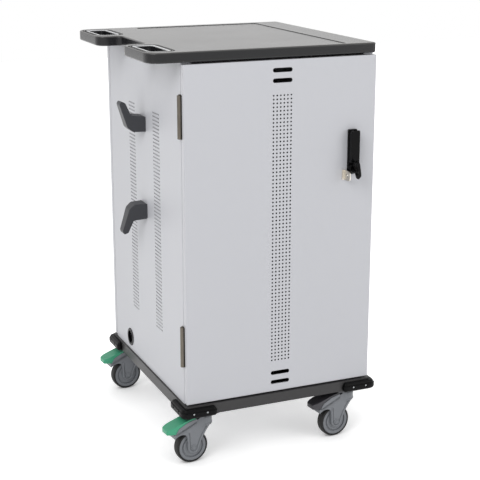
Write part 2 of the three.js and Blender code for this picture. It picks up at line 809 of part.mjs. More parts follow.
function worktop() {
  const left = -halfWidth - HANDLE_REACH;
  const notch = -halfWidth - NOTCH_OVERHANG;
  const inner = halfDepth - HANDLE_WIDTH;
  const shape = outline([
    [halfWidth, -halfDepth, 12],
    [halfWidth, halfDepth, 12],
    [left, halfDepth, HANDLE_CORNER],
    [left, inner, HANDLE_CORNER],
    [notch, inner, 20],
    [notch, -inner, 20],
    [left, -inner, HANDLE_CORNER],
    [left, -halfDepth, HANDLE_CORNER],
  ]);
  const gripLeft = left + GRIP_BAR;
  for (const side of [-1, 1]) {
    const centre = side * (halfDepth - HANDLE_WIDTH / 2);
    const half = GRIP_LENGTH / 2;
    shape.holes.push(rectangle(gripLeft, gripLeft + GRIP_WIDTH, centre - half, centre + half, 14));
  }
  const slab = prism(shape, "z", worktopBottom, CART_HEIGHT, WORKTOP_EDGE, 3);
  const insetFloor = CART_HEIGHT - INSET_DEPTH;
  const inset = rectangle(
    INSET_MARGIN_LEFT - halfWidth,
    halfWidth - INSET_MARGIN_RIGHT,
    INSET_MARGIN_FRONT - halfDepth,
    halfDepth - INSET_MARGIN_REAR,
    12,
  );
  const hollowX = halfWidth - 10;
  const hollowY = innerY - 14;
  const hollow = block(-hollowX, hollowX, -hollowY, hollowY, worktopBottom - 1, insetFloor - WORKTOP_SKIN);
  return slab.subtract(prism(inset, "z", insetFloor, CART_HEIGHT + 1, 0, 4)).subtract(hollow);
}

// Cord hook on the left panel: a block with an arm that leans outwards, up for 1 and down for -1
function cordHook(bottom, way) {
  const root = -halfWidth - FIT;
  const half = HOOK_BLOCK / 2;
  const middle = bottom + half;
  const tip = half + HOOK_RISE;
  const shape = outline([
    [root, middle - way * half, 2],
    [root - HOOK_HEEL, middle - way * half, 6],
    [root - HOOK_KNEE, middle - way * (half - HOOK_KNEE_RISE), 5],
    [root - HOOK_REACH, middle + way * (tip - 8), 5],
    [root - HOOK_REACH + 6, middle + way * tip, 3],
    [root - HOOK_REACH + HOOK_TIP, middle + way * (tip - 4), 4],
    [root - HOOK_THROAT, middle + way * (half + HOOK_THROAT_RISE), 5],
    [root, middle + way * half, 4],
  ]);
  const y = doorFront + HOOK_FROM_FRONT;
  const rootHalf = HOOK_ROOT_DEPTH / 2;
  const tipHalf = HOOK_TIP_DEPTH / 2;
  const plan = outline([
    [root + 1, y - rootHalf],
    [root + 1, y + rootHalf],
    [root - HOOK_REACH - 1, y + tipHalf],
    [root - HOOK_REACH - 1, y - tipHalf],
  ]);
  const profile = prism(shape, "y", y - rootHalf - 1, y + rootHalf + 1, 0, 3);
  return profile.intersect(prism(plan, "z", middle - tip - 1, middle + tip + 1));
}

function cordGrommet() {
  const neck = INLET_RADIUS - FIT;
  const hole = neck - GROMMET_WALL;
  const lip = INLET_RADIUS + GROMMET_LIP;
  const ring = turned(
    [
      [hole, -FIT - 2],
      [lip - 1, -FIT - 2],
      [lip, -FIT],
      [neck, -FIT],
      [neck, SHEET + FIT],
      [lip - 2, SHEET + FIT],
      [lip - 3, SHEET + FIT + 2],
      [hole, SHEET + FIT + 2],
    ],
    24,
  );
  return ring.rotate(0, 0, -90).translate(-halfWidth, inletY, inletZ);
}

// Rack with upright dividers, standing on the sheet below it
const partitionY = -frameFront - ADAPTER_BAY;
const shelfTop = floorTop + SHELF_HEIGHT;

function rack(bottom) {
  const front = frameFront + RACK_SETBACK;
  const back = partitionY - 2;
  const half = innerX - RACK_SIDE_GAP;
  const pitch = (2 * half - FIN_THICKNESS) / RACK_SLOTS;
  let body = block(-half, half, front, back, bottom, bottom + RACK_TRAY);
  for (let index = 0; index <= RACK_SLOTS; index += 1) {
    const x = index * pitch - half;
    body = body.add(block(x, x + FIN_THICKNESS, front, back, bottom, bottom + RACK_TRAY + FIN_HEIGHT));
  }
  return body;
}

function middleShelf() {
  const front = frameFront + RACK_SETBACK - 6;
  const plate = block(-innerX, innerX, front, partitionY - FIT, shelfTop - SHEET, shelfTop);
  const lip = block(-innerX, innerX, front, front + SHEET, shelfTop - SHELF_LIP, shelfTop);
  return plate.add(lip);
}

// Power strip on the rear face of the partition, its sockets facing the rear door
function powerStrip(z) {
  const near = partitionY + SHEET + FIT;
  const far = near + STRIP_DEPTH;
  const half = STRIP_LENGTH / 2;
  const shape = rectangle(near, far, z - STRIP_HEIGHT / 2, z + STRIP_HEIGHT / 2, 4);
  let strip = prism(shape, "x", -half, half, 0, 3);
  const pitch = STRIP_LENGTH / SOCKET_COUNT;
  for (let index = 0; index < SOCKET_COUNT; index += 1) {
    const x = (index + 0.5) * pitch - half;
    strip = strip.subtract(
      block(
        x - SOCKET_WIDTH / 2,
        x + SOCKET_WIDTH / 2,
        far - SOCKET_DEPTH,
        far + 1,
        z - SOCKET_HEIGHT / 2,
        z + SOCKET_HEIGHT / 2,
      ),
    );
  }
  return strip;
}

add(cart, "base_frame", baseFrame(), darkPaint);

const corners = [
  ["front_left", -1, -1, 0, greenPlastic],
  ["front_right", 1, -1, 1, blackPlastic],
  ["rear_right", 1, 1, 2, blackPlastic],
  ["rear_left", -1, 1, 3, greenPlastic],
];
for (const [corner, sideX, sideY, quarter, pedalFinish] of corners) {
  const guard = new THREE.Group();
  guard.position.set(sideX * (halfWidth + BASE_OVERHANG), sideY * (halfDepth + BASE_OVERHANG), 0);
  guard.rotation.z = (quarter * Math.PI) / 2;
  add(guard, "bumper_" + corner, bumper(), blackPlastic);
  cart.add(guard);
  const castor = new THREE.Group();
  castor.position.set(sideX * (halfWidth - CASTOR_INSET_X), sideY * (halfDepth - CASTOR_INSET_Y), 0);
  castor.rotation.z = THREE.MathUtils.degToRad(CASTOR_HEADING);
  add(castor, "castor_plate_" + corner, castorPlate(), zinc);
  add(castor, "castor_fork_" + corner, castorFork(), greyPlastic);
  add(castor, "castor_hub_" + corner, castorHub(), greyPlastic);
  add(castor, "castor_tyre_" + corner, castorTyre(), rubber);
  add(castor, "castor_pedal_" + corner, castorPedal(), pedalFinish);
  cart.add(castor);
}

add(cart, "side_panel_left", sidePanel(true), whitePaint);
add(rear, "side_panel_right", sidePanel(false), whitePaint);
add(cart, "cabinet_floor", block(-innerX, innerX, -innerY, innerY, bodyBottom, floorTop), whitePaint);
add(cart, "cabinet_roof", block(-innerX, innerX, -innerY, innerY, roofBottom, bodyTop), whitePaint);
add(cart, "worktop", worktop(), darkPlastic);
add(cart, "front_door", frontDoor(), whitePaint);
add(rear, "rear_door", rearDoor(), whitePaint);

for (const [level, z] of Object.entries(hingeLevels)) {
  add(cart, "front_hinge_frame_leaf_" + level, hingeFrameLeaf(z), steel);
  add(cart, "front_hinge_door_leaf_" + level, hingeDoorLeaf(z), steel);
  add(rear, "rear_hinge_frame_leaf_" + level, hingeFrameLeaf(z), steel);
  add(rear, "rear_hinge_door_leaf_" + level, hingeDoorLeaf(z), steel);
}

add(cart, "lock_base", lockPlate(), blackPlastic);
add(cart, "latch_spindle", latchSpindle(), zinc);
add(cart, "latch_cam", latchCam(), zinc);
add(cart, "swing_handle", swingHandle(), blackPlastic);
add(cart, "lock_cylinder", lockCylinder(), blackPlastic);
add(cart, "lock_key", lockKey(), blackPlastic);
add(cart, "padlock_staple", padlockStaple(), steel);
add(rear, "rear_cam_lock", rearCamLock(), zinc);

const upperHook = doorTop - HOOK_FROM_TOP;
add(cart, "cord_hook_upper", cordHook(upperHook, 1), darkPlastic);
add(cart, "cord_hook_lower", cordHook(upperHook - HOOK_SPACING, -1), darkPlastic);
add(cart, "cord_grommet", cordGrommet(), blackPlastic);

const partition = block(
  -innerX,
  innerX,
  partitionY,
  partitionY + SHEET,
  floorTop + FIT,
  roofBottom - FIT,
);
add(cart, "partition", partition, whitePaint);
add(cart, "middle_shelf", middleShelf(), whitePaint);
add(cart, "device_rack_lower", rack(floorTop + FIT), darkPlastic);
add(cart, "device_rack_upper", rack(shelfTop + FIT), darkPlastic);
add(cart, "power_strip_lower", powerStrip(floorTop + STRIP_RISE), blackPlastic);
add(cart, "power_strip_upper", powerStrip(shelfTop + STRIP_RISE), blackPlastic);

// The part's origin is on the floor, under the middle of its bounding box.
const bounds = new THREE.Box3().setFromObject(cart);
const middle = bounds.getCenter(new THREE.Vector3());
cart.position.set(-middle.x, -middle.y, -bounds.min.z);

const part = new THREE.Group();
part.name = "laptop_charging_cart";
part.add(cart);

export default part;
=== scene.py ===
import json
import math

import bmesh
import bpy
from mathutils import Matrix, Vector, geometry


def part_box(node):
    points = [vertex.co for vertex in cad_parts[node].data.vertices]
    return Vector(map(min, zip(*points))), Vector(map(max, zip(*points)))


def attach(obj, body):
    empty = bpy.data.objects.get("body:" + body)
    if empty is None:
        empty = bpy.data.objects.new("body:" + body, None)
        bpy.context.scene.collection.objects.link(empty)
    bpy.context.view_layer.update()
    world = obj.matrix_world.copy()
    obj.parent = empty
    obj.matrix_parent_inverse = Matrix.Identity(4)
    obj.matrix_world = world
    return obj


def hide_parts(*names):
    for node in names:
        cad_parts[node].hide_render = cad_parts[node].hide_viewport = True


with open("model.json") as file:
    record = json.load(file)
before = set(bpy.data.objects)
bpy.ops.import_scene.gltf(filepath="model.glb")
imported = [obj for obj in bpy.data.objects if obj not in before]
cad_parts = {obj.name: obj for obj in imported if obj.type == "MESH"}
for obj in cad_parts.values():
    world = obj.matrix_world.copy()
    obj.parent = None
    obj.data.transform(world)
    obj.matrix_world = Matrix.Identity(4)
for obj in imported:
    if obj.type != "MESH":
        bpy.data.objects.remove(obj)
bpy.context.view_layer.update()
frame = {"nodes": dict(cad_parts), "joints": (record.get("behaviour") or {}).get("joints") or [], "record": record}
solids = frame["nodes"]
bodies = frame["record"]["behaviour"]["bodies"]
body_of = {node: body for body, members in bodies.items() for node in members}
pivot = {joint["name"]: Vector(joint["pos_m"]) for joint in frame["joints"]}
corners = ("front_left", "front_right", "rear_right", "rear_left")

# Sizes of what the solids leave out
HOLE_PITCH = 0.01089
HOLE_RADIUS = 0.0026
HOLE_WALL_AREA = (1e-6, 5e-6)  # between these, a face belongs to the wall of a hole
DOOR_HOLES = (6, 73)
SIDE_HOLES = (6, 61)
SIDE_HOLE_PITCH = 0.0094  # across a strip; along it the holes stand as they do in a door
SIDE_STRIPS = (0.2287, 0.4475)  # from the front of the closed door
SIDE_HOLES_MIDDLE = 0.487  # above the bottom of the door
DOOR_HOLES_MIDDLE = 0.4895
DOOR_GAP = 0.0014  # taken off the back edge of a door, so that the joint beside it shows
PAST = 0.01  # how far a cutter reaches past what it cuts
SCREW_RADIUS = 0.0029
KEY_LEAN = 30  # degrees, the way the bow of the key hangs
KEY_THICKENING = 2.1
STAPLE_FOOT = 0.009
HOOK_SHARE = 0.93  # of the reach of its solid
BOLT_RADIUS = 0.0048


# Node trees

def new_node(tree, kind, **settings):
    node = tree.nodes.new(kind)
    for name, value in settings.items():
        setattr(node, name, value)
    return node


def new_group(name, kind, inputs, outputs):
    """Empty node group with named sockets, and its two ends."""
    tree = bpy.data.node_groups.new(name, kind)
    for direction, sockets in (("INPUT", inputs), ("OUTPUT", outputs)):
        for label, socket in sockets:
            tree.interface.new_socket(label, in_out=direction, socket_type="NodeSocket" + socket)
    return tree, new_node(tree, "NodeGroupInput").outputs, new_node(tree, "NodeGroupOutput").inputs


def maths(tree, operation, first, second):
    """Result of a sum on two sockets or numbers."""
    node = new_node(tree, "ShaderNodeMath", operation=operation)
    for socket, value in zip(node.inputs, (first, second)):
        if isinstance(value, (int, float)):
            socket.default_value = value
        else:
            tree.links.new(value, socket)
    return node.outputs[0]


# Shared finishes

def make_fine_grain():
    """Fine relief, broad mottling and uneven gloss of a moulded or coated surface."""
    inputs = (
        ("Colour", "Color"),
        ("Grain Size", "Float"),
        ("Mottle", "Float"),
        ("Roughness", "Float"),
        ("Gloss Spread", "Float"),
    )
    outputs = (("Colour", "Color"), ("Roughness", "Float"), ("Height", "Float"))
    tree, given, result = new_group("fine_grain", "ShaderNodeTree", inputs, outputs)
    place = new_node(tree, "ShaderNodeTexCoord").outputs["Object"]
    grain = new_node(tree, "ShaderNodeTexNoise")
    grain.inputs["Detail"].default_value = 3
    tree.links.new(place, grain.inputs["Vector"])
    tree.links.new(maths(tree, "DIVIDE", 1.0, given["Grain Size"]), grain.inputs["Scale"])
    patches = new_node(tree, "ShaderNodeTexNoise")
    patches.inputs["Scale"].default_value = 5
    patches.inputs["Detail"].default_value = 4
    tree.links.new(place, patches.inputs["Vector"])
    uneven = maths(tree, "SUBTRACT", patches.outputs["Fac"], 0.5)
    speck = maths(tree, "SUBTRACT", grain.outputs["Fac"], 0.5)
    shade = maths(tree, "ADD", uneven, maths(tree, "MULTIPLY", speck, 0.5))
    tint = new_node(tree, "ShaderNodeHueSaturation")
    tree.links.new(given["Colour"], tint.inputs["Color"])
    tree.links.new(maths(tree, "MULTIPLY_ADD", shade, given["Mottle"]), tint.inputs["Value"])
    value = tint.inputs["Value"].links[0].from_node
    value.inputs[2].default_value = 1
    tree.links.new(tint.outputs["Color"], result["Colour"])
    gloss = maths(tree, "MULTIPLY", uneven, given["Gloss Spread"])
    tree.links.new(maths(tree, "ADD", gloss, given["Roughness"]), result["Roughness"])
    tree.links.new(grain.outputs["Fac"], result["Height"])
    return tree


def make_dust_and_sheen():
    """Mask of a thin dusting on faces that look up, a little uneven; where it is strong it is also painted sheen
    that lightens upward faces.
    """
    inputs = (("Amount", "Float"),)
    tree, given, result = new_group("settled_dust", "ShaderNodeTree", inputs, (("Mask", "Float"),))
    facing = new_node(tree, "ShaderNodeSeparateXYZ")
    tree.links.new(new_node(tree, "ShaderNodeNewGeometry").outputs["Normal"], facing.inputs[0])
    patches = new_node(tree, "ShaderNodeTexNoise")
    patches.inputs["Scale"].default_value = 40
    patches.inputs["Detail"].default_value = 5
    tree.links.new(new_node(tree, "ShaderNodeTexCoord").outputs["Object"], patches.inputs["Vector"])
    upward = maths(tree, "MAXIMUM", facing.outputs["Z"], 0.0)
    thin = maths(tree, "ADD", maths(tree, "MULTIPLY", patches.outputs["Fac"], 0.2), 0.4)
    mask = maths(tree, "MULTIPLY", upward, thin)
    tree.links.new(maths(tree, "MULTIPLY", mask, given["Amount"]), result["Mask"])
    return tree


def make_drawn_lines():
    """Fine lines left by drawing or brushing metal, stretched along one axis."""
    inputs = (("Stretch", "Vector"), ("Dark", "Color"), ("Light", "Color"))
    outputs = (("Colour", "Color"), ("Height", "Float"))
    tree, given, result = new_group("drawn_lines", "ShaderNodeTree", inputs, outputs)
    lay = new_node(tree, "ShaderNodeMapping")
    tree.links.new(new_node(tree, "ShaderNodeTexCoord").outputs["Object"], lay.inputs["Vector"])
    tree.links.new(given["Stretch"], lay.inputs["Scale"])
    lines = new_node(tree, "ShaderNodeTexNoise")
    lines.inputs["Scale"].default_value = 1
    lines.inputs["Detail"].default_value = 6
    tree.links.new(lay.outputs["Vector"], lines.inputs["Vector"])
    blend = new_node(tree, "ShaderNodeMix", data_type="RGBA")
    tree.links.new(lines.outputs["Fac"], blend.inputs["Factor"])
    tree.links.new(given["Dark"], blend.inputs[6])
    tree.links.new(given["Light"], blend.inputs[7])
    tree.links.new(blend.outputs[2], result["Colour"])
    tree.links.new(lines.outputs["Fac"], result["Height"])
    return tree


fine_grain = make_fine_grain()
settled_dust = make_dust_and_sheen()
drawn_lines = make_drawn_lines()


def screen(red, green, blue):
    """Linear colour of screen values from 0 to 255."""
    shares = [value / 255 for value in (red, green, blue)]
    return [s / 12.92 if s < 0.04045 else ((s + 0.055) / 1.055) ** 2.4 for s in shares] + [1.0]


def new_material(name):
    material = bpy.data.materials.new(name)
    material.use_nodes = True
    tree = material.node_tree
    tree.nodes.clear()
    shader = new_node(tree, "ShaderNodeBsdfPrincipled")
    tree.links.new(shader.outputs[0], new_node(tree, "ShaderNodeOutputMaterial").inputs["Surface"])
    return material, tree, shader


def relief(tree, shader, height, depth):
    """Bump of a height socket, of a depth in metres."""
    bump = new_node(tree, "ShaderNodeBump")
    bump.inputs["Strength"].default_value = 1
    bump.inputs["Distance"].default_value = depth
    tree.links.new(height, bump.inputs["Height"])
    tree.links.new(bump.outputs[0], shader.inputs["Normal"])


def coated(name, colour, roughness, grain=0.0012, mottle=0.03, spread=0.12, depth=2e-5, dust_and_sheen_amount=0.0, **sockets):
    """Paint, plastic or rubber with fine grain and a light dusting on upward faces, which at a strong amount is
    painted sheen.
    """
    material, tree, shader = new_material(name)
    surface = new_node(tree, "ShaderNodeGroup", node_tree=fine_grain)
    surface.inputs["Colour"].default_value = colour
    surface.inputs["Grain Size"].default_value = grain
    surface.inputs["Mottle"].default_value = mottle
    surface.inputs["Roughness"].default_value = roughness
    surface.inputs["Gloss Spread"].default_value = spread
    layer = new_node(tree, "ShaderNodeGroup", node_tree=settled_dust)
    layer.inputs["Amount"].default_value = dust_and_sheen_amount
    blend = new_node(tree, "ShaderNodeMix", data_type="RGBA")
    # Colour of the dusting, which on the worktop also serves as painted sheen
    blend.inputs[7].default_value = screen(150, 148, 146)
    tree.links.new(layer.outputs["Mask"], blend.inputs["Factor"])
    tree.links.new(surface.outputs["Colour"], blend.inputs[6])
    tree.links.new(blend.outputs[2], shader.inputs["Base Color"])
    tree.links.new(surface.outputs["Roughness"], shader.inputs["Roughness"])
    relief(tree, shader, surface.outputs["Height"], depth)
    for socket, value in sockets.items():
        shader.inputs[socket].default_value = value
    return material


def metal(name, dark, light, roughness, stretch):
    """Drawn or plated metal."""
    material, tree, shader = new_material(name)
    surface = new_node(tree, "ShaderNodeGroup", node_tree=drawn_lines)
    surface.inputs["Stretch"].default_value = stretch
    surface.inputs["Dark"].default_value = dark
    surface.inputs["Light"].default_value = light
    tree.links.new(surface.outputs["Colour"], shader.inputs["Base Color"])
    shader.inputs["Metallic"].default_value = 1
    shader.inputs["Roughness"].default_value = roughness
    relief(tree, shader, surface.outputs["Height"], 1e-5)
    return material


white_coat = coated("white_powder_coat", screen(203, 204, 209), 0.42, 0.0011, 0.025, 0.1, 1.5e-5)
dark_coat = coated(
    "dark_powder_coat",
    screen(47, 46, 47),
    0.42,
    grain=0.0011,
    mottle=0.08,
    dust_and_sheen_amount=0.05,
    **{"Specular IOR Level": 0.35},
)
# Worktop: its strong upward dusting is a little real dust and mostly painted sheen, lightening the top as
# reflected light does
worktop_skin = coated(
    "worktop_moulding",
    screen(26, 26, 28),
    0.24,
    grain=0.0007,
    mottle=0.06,
    spread=0.06,
    depth=1e-5,
    dust_and_sheen_amount=0.7,
    **{"Specular IOR Level": 0.34},
)
# Pale lip around each grip: its light colour is a painted highlight on the grip's rim
highlight_lip_skin = coated("polished_grip_lip", screen(218, 219, 221), 0.22, 0.0007, 0.05, 0.06, 1e-5)
hook_skin = coated(
    "hook_moulding",
    screen(56, 57, 61),
    0.42,
    grain=0.0008,
    mottle=0.06,
    dust_and_sheen_amount=0.03,
    **{"Specular IOR Level": 0.25},
)
black_skin = coated(
    "black_moulding",
    screen(7, 7, 8),
    0.34,
    grain=0.0008,
    mottle=0.1,
    dust_and_sheen_amount=0.01,
    **{"Specular IOR Level": 0.09},
)
grey_skin = coated("castor_moulding", screen(122, 125, 130), 0.42, 0.0009, 0.06, 0.12, 2e-5, 0.03)
green_skin = coated("green_pedal_moulding", screen(62, 160, 122), 0.4, 0.0008, 0.06, 0.1, 2e-5, 0.02)
pedal_skin = coated("dark_pedal_moulding", screen(48, 47, 52), 0.4, 0.0008, 0.06, 0.1, 2e-5, 0.02)
# Dark coat on the walls of punched holes: painted shade inside the holes
painted_shade_hole_coat = coated("coat_in_punched_holes", screen(66, 66, 68), 0.6)
tread_rubber = coated(
    "tyre_rubber",
    screen(26, 26, 26),
    0.6,
    grain=0.0015,
    mottle=0.15,
    spread=0.2,
    depth=4e-5,
    dust_and_sheen_amount=0.04,
    **{"Specular IOR Level": 0.3},
)
hinge_steel = metal("hinge_steel", screen(66, 62, 56), screen(118, 112, 103), 0.38, (900, 900, 40))
staple_steel = metal("staple_steel", screen(178, 173, 163), screen(224, 219, 210), 0.34, (40, 900, 900))
zinc_plate = metal("zinc_plate", screen(140, 142, 144), screen(190, 192, 194), 0.35, (300, 300, 300))
# Castor plates: zinc darkened to painted shade, for their place in the shadow under the base
plate_steel_painted_shade = metal("castor_plate_steel", screen(58, 58, 60), screen(88, 88, 90), 0.5, (300, 300, 300))


# Repeats on a grid

def make_grid_ends(tree, given):
    """Points of an even grid, and the step that sets what stands on them in place."""
    grid = new_node(tree, "GeometryNodeMeshGrid")
    for axis, count, pitch in (("X", "Columns", "Pitch"), ("Y", "Rows", "Row Pitch")):
        steps = maths(tree, "SUBTRACT", given[count], 1.0)
        tree.links.new(maths(tree, "MULTIPLY", steps, given[pitch]), grid.inputs["Size " + axis])
        tree.links.new(given[count], grid.inputs["Vertices " + axis])
    stand = new_node(tree, "GeometryNodeInstanceOnPoints")
    tree.links.new(grid.outputs["Mesh"], stand.inputs["Points"])
    whole = new_node(tree, "GeometryNodeRealizeInstances")
    tree.links.new(stand.outputs["Instances"], whole.inputs["Geometry"])
    move = new_node(tree, "GeometryNodeTransform")
    tree.links.new(whole.outputs["Geometry"], move.inputs["Geometry"])
    tree.links.new(given["Middle"], move.inputs["Translation"])
    tree.links.new(given["Turn"], move.inputs["Rotation"])
    return stand.inputs["Instance"], move.outputs["Geometry"]


GRID_INPUTS = (
    ("Geometry", "Geometry"),
    ("Columns", "Int"),
    ("Rows", "Int"),
    ("Pitch", "Float"),
    ("Row Pitch", "Float"),
    ("Middle", "Vector"),
    ("Turn", "Vector"),
    ("Radius", "Float"),
    ("Depth", "Float"),
    ("Material", "Material"),
)


def end_tree(tree, made, given, result):
    whole = new_node(tree, "GeometryNodeRealizeInstances")
    tree.links.new(made, whole.inputs["Geometry"])
    paint = new_node(tree, "GeometryNodeSetMaterial")
    tree.links.new(whole.outputs["Geometry"], paint.inputs["Geometry"])
    tree.links.new(given["Material"], paint.inputs["Material"])
    tree.links.new(paint.outputs["Geometry"], result["Geometry"])


def make_punched_holes():
    """Cuts a grid of round holes through the given sheet."""
    tree, given, result = new_group("punched_holes", "GeometryNodeTree", GRID_INPUTS, GRID_INPUTS[:1])
    seat, cutters = make_grid_ends(tree, given)
    punch = new_node(tree, "GeometryNodeMeshCylinder")
    punch.inputs["Vertices"].default_value = 12
    tree.links.new(given["Radius"], punch.inputs["Radius"])
    tree.links.new(given["Depth"], punch.inputs["Depth"])
    tree.links.new(punch.outputs["Mesh"], seat)
    cut = new_node(tree, "GeometryNodeMeshBoolean", operation="DIFFERENCE", solver="MANIFOLD")
    tree.links.new(given["Geometry"], cut.inputs["Mesh 1"])
    tree.links.new(cutters, cut.inputs["Mesh 2"])
    end_tree(tree, cut.outputs["Mesh"], given, result)
    return tree


def make_screw_heads():
    """Stands a copy of the given screw head on each point of a grid."""
    tree, given, result = new_group("screw_heads", "GeometryNodeTree", GRID_INPUTS, GRID_INPUTS[:1])
    seat, heads = make_grid_ends(tree, given)
    tree.links.new(given["Geometry"], seat)
    end_tree(tree, heads, given, result)
    return tree


def make_moulded_bead():
    """Round bead along the given line."""
    inputs = (("Geometry", "Geometry"), ("Radius", "Float"), ("Material", "Material"))
    tree, given, result = new_group("moulded_bead", "GeometryNodeTree", inputs, inputs[:1])
    line = new_node(tree, "GeometryNodeMeshToCurve")
    tree.links.new(given["Geometry"], line.inputs["Mesh"])
    ring = new_node(tree, "GeometryNodeCurvePrimitiveCircle")
    ring.inputs["Resolution"].default_value = 10
    tree.links.new(given["Radius"], ring.inputs["Radius"])
    swept = new_node(tree, "GeometryNodeCurveToMesh")
    swept.inputs["Fill Caps"].default_value = True
    tree.links.new(line.outputs["Curve"], swept.inputs["Curve"])
    tree.links.new(ring.outputs["Curve"], swept.inputs["Profile Curve"])
    end_tree(tree, swept.outputs["Mesh"], given, result)
    return tree


punched_holes = make_punched_holes()
screw_heads = make_screw_heads()
moulded_bead = make_moulded_bead()


# Meshes

def worked(mesh, kind, **settings):
    """Plain mesh of a mesh with one modifier worked in."""
    worker = bpy.data.objects.new("worker", mesh)
    bpy.context.scene.collection.objects.link(worker)
    modifier = worker.modifiers.new("work", kind)
    for name, value in settings.items():
        setattr(modifier, name, value)
    if kind == "NODES":
        return worker, modifier
    return settled(worker)


def settled(worker):
    """Plain mesh of an object with its modifiers worked in; the object goes."""
    depsgraph = bpy.context.evaluated_depsgraph_get()
    mesh = bpy.data.meshes.new_from_object(worker.evaluated_get(depsgraph))
    bpy.data.objects.remove(worker)
    return mesh


def from_tree(mesh, tree, **values):
    """Plain mesh of a tree worked on a mesh, with the tree's inputs set by name."""
    worker, modifier = worked(mesh, "NODES", node_group=tree)
    for item in tree.interface.items_tree:
        label = item.name.replace(" ", "_").lower()
        if item.in_out == "INPUT" and label in values:
            modifier[item.identifier] = values[label]
    return settled(worker)


def punched(mesh, material, columns, rows, pitch, middle, turn, radius, depth=0.02, row_pitch=None):
    return from_tree(
        mesh,
        punched_holes,
        columns=columns,
        rows=rows,
        pitch=pitch,
        row_pitch=row_pitch or pitch,
        middle=middle,
        turn=turn,
        radius=radius,
        depth=depth,
        material=material,
    )


def cut(mesh, tool):
    """Mesh with another mesh cut out of it."""
    cutter = bpy.data.objects.new("cutter", tool)
    bpy.context.scene.collection.objects.link(cutter)
    mesh = worked(mesh, "BOOLEAN", object=cutter, operation="DIFFERENCE", solver="MANIFOLD")
    bpy.data.objects.remove(cutter)
    return mesh


def bead(points, radius, material):
    """Round bead through points, closed at its ends."""
    line = bpy.data.meshes.new("line")
    line.from_pydata([tuple(p) for p in points], [(i, i + 1) for i in range(len(points) - 1)], [])
    work = bmesh.new()
    work.from_mesh(from_tree(line, moulded_bead, radius=radius, material=material))
    bmesh.ops.remove_doubles(work, verts=work.verts, dist=1e-6)
    bmesh.ops.recalc_face_normals(work, faces=work.faces)
    return from_work(work)


def rounded(mesh, width, segments=2, limit=40):
    """Mesh with the edges that are sharper than a limit rounded."""
    return worked(
        mesh,
        "BEVEL",
        width=width,
        segments=segments,
        limit_method="ANGLE",
        angle_limit=math.radians(limit),
    )


def shaded(mesh, limit=35):
    """Mesh shaded smooth across gentle edges, with its large faces kept flat."""
    mesh.shade_smooth()
    mesh.set_sharp_from_angle(angle=math.radians(limit))
    return worked(mesh, "WEIGHTED_NORMAL", keep_sharp=True, weight=90)


def merged(node):
    """Copy of a solid with its loose triangles joined into whole faces."""
    work = bmesh.new()
    work.from_mesh(solids[node].data)
    bmesh.ops.remove_doubles(work, verts=work.verts, dist=2e-6)
    bmesh.ops.dissolve_limit(work, angle_limit=0.008, verts=work.verts, edges=work.edges)
    return from_work(work)


def from_work(work):
    mesh = bpy.data.meshes.new("shape")
    work.to_mesh(mesh)
    work.free()
    return mesh


def outline(points, steps=8):
    """Closed outline through corners (x, y, radius), each rounded where it has a radius."""
    path = []
    count = len(points)
    for index, (x, y, radius) in enumerate(points):
        corner = Vector((x, y))
        if radius == 0:
            path.append(corner)
            continue
        before = Vector(points[index - 1][:2])
        after = Vector(points[(index + 1) % count][:2])
        start = corner + (before - corner).normalized() * radius
        end = corner + (after - corner).normalized() * radius
        for step in range(steps + 1):
            t = step / steps
            path.append(start * (1 - t) ** 2 + corner * 2 * t * (1 - t) + end * t**2)
    return path


def rectangle(low_x, high_x, low_y, high_y, radius, steps=8):
    edges = ((low_x, low_y), (high_x, low_y), (high_x, high_y), (low_x, high_y))
    return outline([(x, y, radius) for x, y in edges], steps)


def slab(outlines, bottom, top):
    """Upright plate between two heights; the first outline is its rim and the others are holes."""
    work = bmesh.new()
    loops = [[Vector((p.x, p.y, 0)) for p in path] for path in outlines]
    flat = [p for loop in loops for p in loop]
    low = [work.verts.new((p.x, p.y, bottom)) for p in flat]
    high = [work.verts.new((p.x, p.y, top)) for p in flat]
    for triangle in geometry.tessellate_polygon(loops):
        work.faces.new([high[index] for index in triangle])
        work.faces.new([low[index] for index in reversed(triangle)])
    first = 0
    for loop in loops:
        count = len(loop)
        for index in range(count):
            here = first + index
            after = first + (index + 1) % count
            work.faces.new((low[here], low[after], high[after], high[here]))
        first += count
    bmesh.ops.recalc_face_normals(work, faces=work.faces)
    bmesh.ops.dissolve_limit(work, angle_limit=0.008, verts=work.verts, edges=work.edges)
    return from_work(work)


def lofted(loops, heights):
    """Closed skin through loops of equally many points, one at each height."""
    work = bmesh.new()
    rings = [[work.verts.new((p.x, p.y, z)) for p in loop] for loop, z in zip(loops, heights)]
    for lower, upper in zip(rings, rings[1:]):
        for index in range(len(lower)):
            after = (index + 1) % len(lower)
            work.faces.new((lower[index], lower[after], upper[after], upper[index]))
    work.faces.new(list(reversed(rings[0])))
    work.faces.new(rings[-1])
    bmesh.ops.recalc_face_normals(work, faces=work.faces)
    return from_work(work)


def turned(profile, steps, place):
    """Ring turned about the local Z axis from a closed profile of (radius, height), moved by a matrix."""
    work = bmesh.new()
    rings = []
    for step in range(steps):
        angle = 2 * math.pi * step / steps
        c, s = math.cos(angle), math.sin(angle)
        rings.append([work.verts.new(place @ Vector((r * c, r * s, h))) for r, h in profile])
    count = len(profile)
    for step in range(steps):
        ring, following = rings[step], rings[(step + 1) % steps]
        for index in range(count):
            after = (index + 1) % count
            if profile[index][0] > 0 or profile[after][0] > 0:
                work.faces.new((ring[index], following[index], following[after], ring[after]))
    bmesh.ops.remove_doubles(work, verts=work.verts, dist=1e-6)
    bmesh.ops.recalc_face_normals(work, faces=work.faces)
    return from_work(work)


def joined(meshes):
    """One mesh of several."""
    work = bmesh.new()
    for mesh in meshes:
        work.from_mesh(mesh)
    return from_work(work)


def moved(mesh, matrix):
    mesh.transform(matrix)
    return mesh


